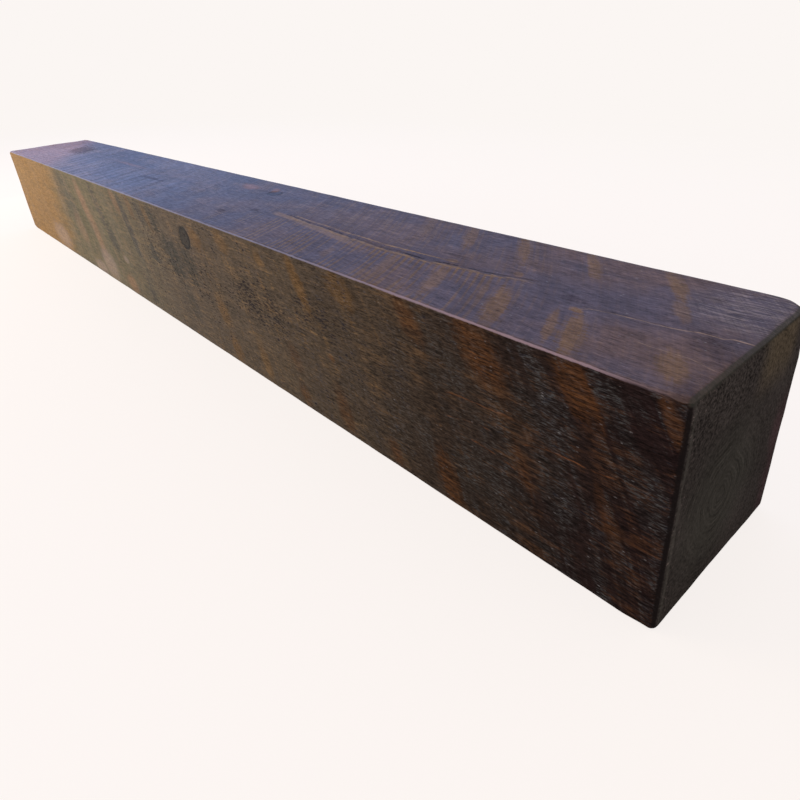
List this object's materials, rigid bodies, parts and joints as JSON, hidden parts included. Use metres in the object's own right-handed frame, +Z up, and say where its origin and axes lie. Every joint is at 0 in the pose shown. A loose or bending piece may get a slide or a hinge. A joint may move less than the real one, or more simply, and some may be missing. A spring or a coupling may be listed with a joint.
{
  "type": "wood mantel beam",
  "caption": "Solid square timber beam for use as a fireplace mantel shelf: rough-sawn faces, eased edges, dark stained.",
  "frame": {"origin": "middle of the underside", "axes": "+X along the beam towards its right end as seen from the front, +Y towards the wall, +Z up"},
  "size_m": [1.829, 0.196, 0.203],
  "materials": {
    "stained_timber": "dark walnut stain under a satin clear coat on rough-sawn wood"
  },
  "bodies": {
    "root": {"mantel_beam": "stained_timber"}
  },
  "joints": []
}
